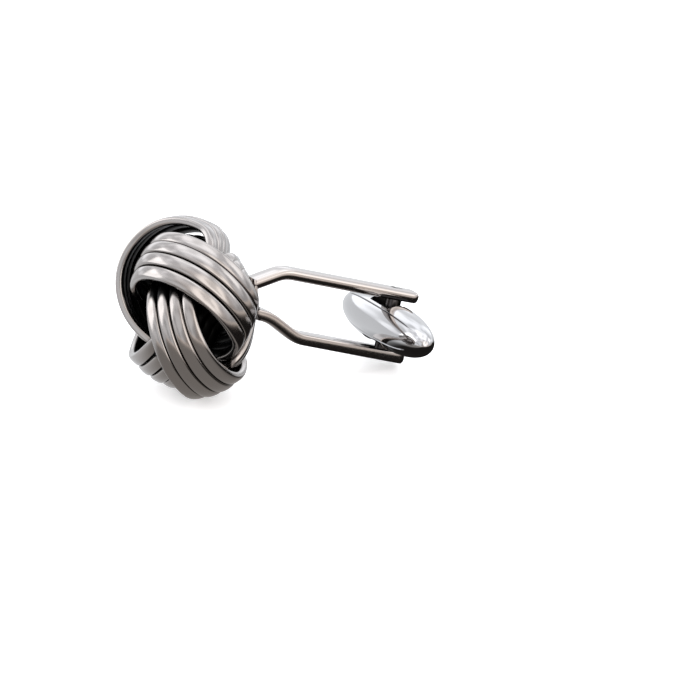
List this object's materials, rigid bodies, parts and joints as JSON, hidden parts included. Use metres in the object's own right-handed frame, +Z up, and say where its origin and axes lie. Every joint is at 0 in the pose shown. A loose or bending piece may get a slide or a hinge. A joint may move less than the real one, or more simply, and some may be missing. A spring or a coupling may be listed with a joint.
{
  "type": "silk-knot cufflink",
  "caption": "Knot cufflink: interlocked ribbed metal rings on a two-armed fork, with a torpedo toggle that turns on a pin to lock it in a cuff.",
  "frame": {"origin": "on the surface the cufflink lies on, below the centre of its bounding box", "axes": "+Z up from that surface; +X runs from the knot towards the toggle end; +Y away from the side seen in the picture"},
  "size_m": [0.026, 0.0208, 0.0147],
  "materials": {
    "knot": "satin gunmetal plating with dark grooves",
    "fork": "polished gunmetal plating",
    "pin": "plain turned",
    "toggle": "mirror-polished gunmetal plating"
  },
  "bodies": {
    "cufflink": {"knot_ring_1": "knot", "knot_ring_2": "knot", "knot_ring_3": "knot", "knot_ring_4": "knot", "fork": "fork", "pivot_pin": "pin"},
    "toggle": {"toggle": "toggle"}
  },
  "joints": [
    {"name": "toggle_swivel", "type": "hinge", "parent": "cufflink", "child": "toggle", "pos_m": [0.00921, 0.00187, 0.00365], "axis": [0.2347, 0.2643, 0.9354], "range_deg": [-90, 90]}
  ]
}
